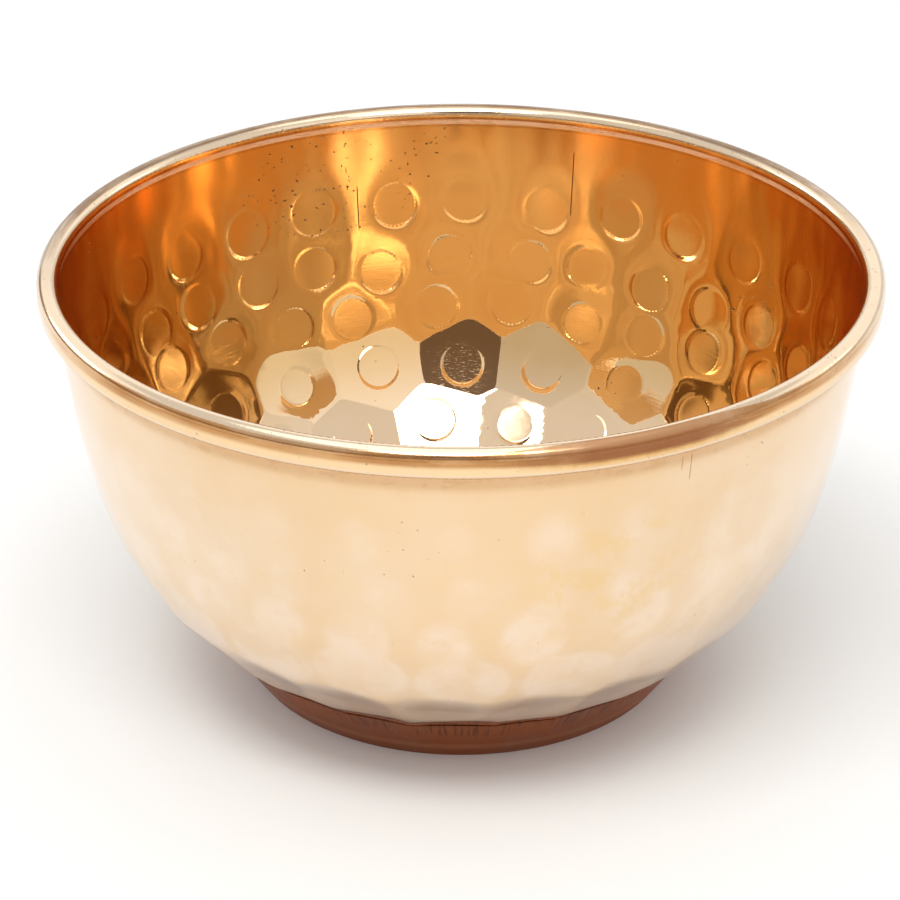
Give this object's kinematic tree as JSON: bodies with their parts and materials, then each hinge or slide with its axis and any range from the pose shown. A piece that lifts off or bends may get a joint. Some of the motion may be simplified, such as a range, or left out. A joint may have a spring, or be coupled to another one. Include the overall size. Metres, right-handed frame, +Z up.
{
  "type": "hammered copper bowl",
  "caption": "Small round bowl of hammered copper sheet with a wired, rolled rim and a tapered foot collar soldered underneath.",
  "frame": {"origin": "centre of the foot's resting plane", "axes": "+Z up along the bowl's axis; the bowl is round, so +X and +Y are free"},
  "size_m": [0.102, 0.102, 0.054],
  "materials": {
    "polished_copper": "mirror polish over hammer marks, lightly tarnished",
    "wire_copper": "drawn, dull",
    "brown_copper": "unpolished, brown oxide, faint scratches",
    "solder": "dull grey"
  },
  "bodies": {
    "root": {"hammered_bowl": "polished_copper", "rim_wire": "wire_copper", "foot_collar": "brown_copper", "foot_solder": "solder"}
  },
  "joints": []
}
